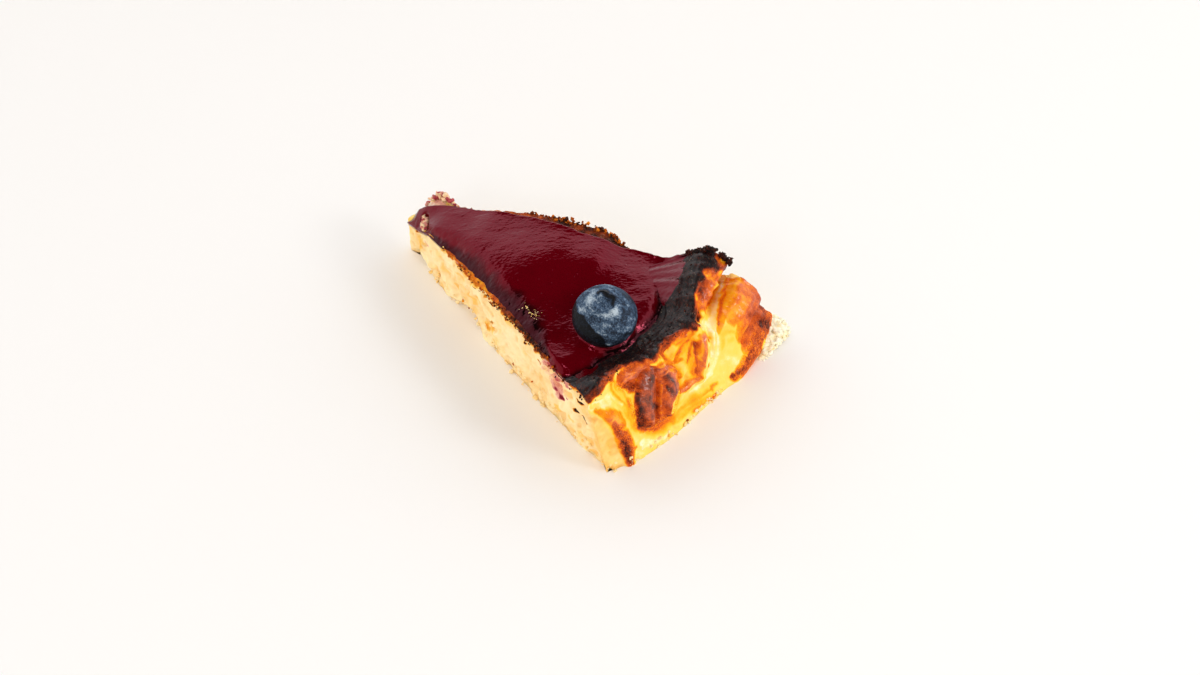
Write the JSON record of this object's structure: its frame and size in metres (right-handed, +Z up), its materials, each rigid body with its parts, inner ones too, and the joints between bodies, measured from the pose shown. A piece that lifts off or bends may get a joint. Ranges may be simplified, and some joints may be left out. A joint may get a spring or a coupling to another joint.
{
  "type": "slice of berry-glazed cheesecake",
  "caption": "Wedge of burnt-top cheesecake with a dark berry glaze, a charred rim, folded browned sides and a blueberry on top.",
  "frame": {"origin": "centre of the underside of the slice's bounding box, on the surface it stands on", "axes": "+X along the slice's middle line from its point to the crust, +Z up; the cut face that the picture shows looks towards -Y"},
  "size_m": [0.1195, 0.0808, 0.0378],
  "materials": {
    "crumb": "cream crumb, browned to burnt on the crust",
    "glaze": "wet, glossy, dark red",
    "berry": "dark blue with a pale waxy bloom"
  },
  "bodies": {
    "root": {"cheesecake": "crumb", "berry_glaze": "glaze", "blueberry": "berry"}
  },
  "joints": []
}
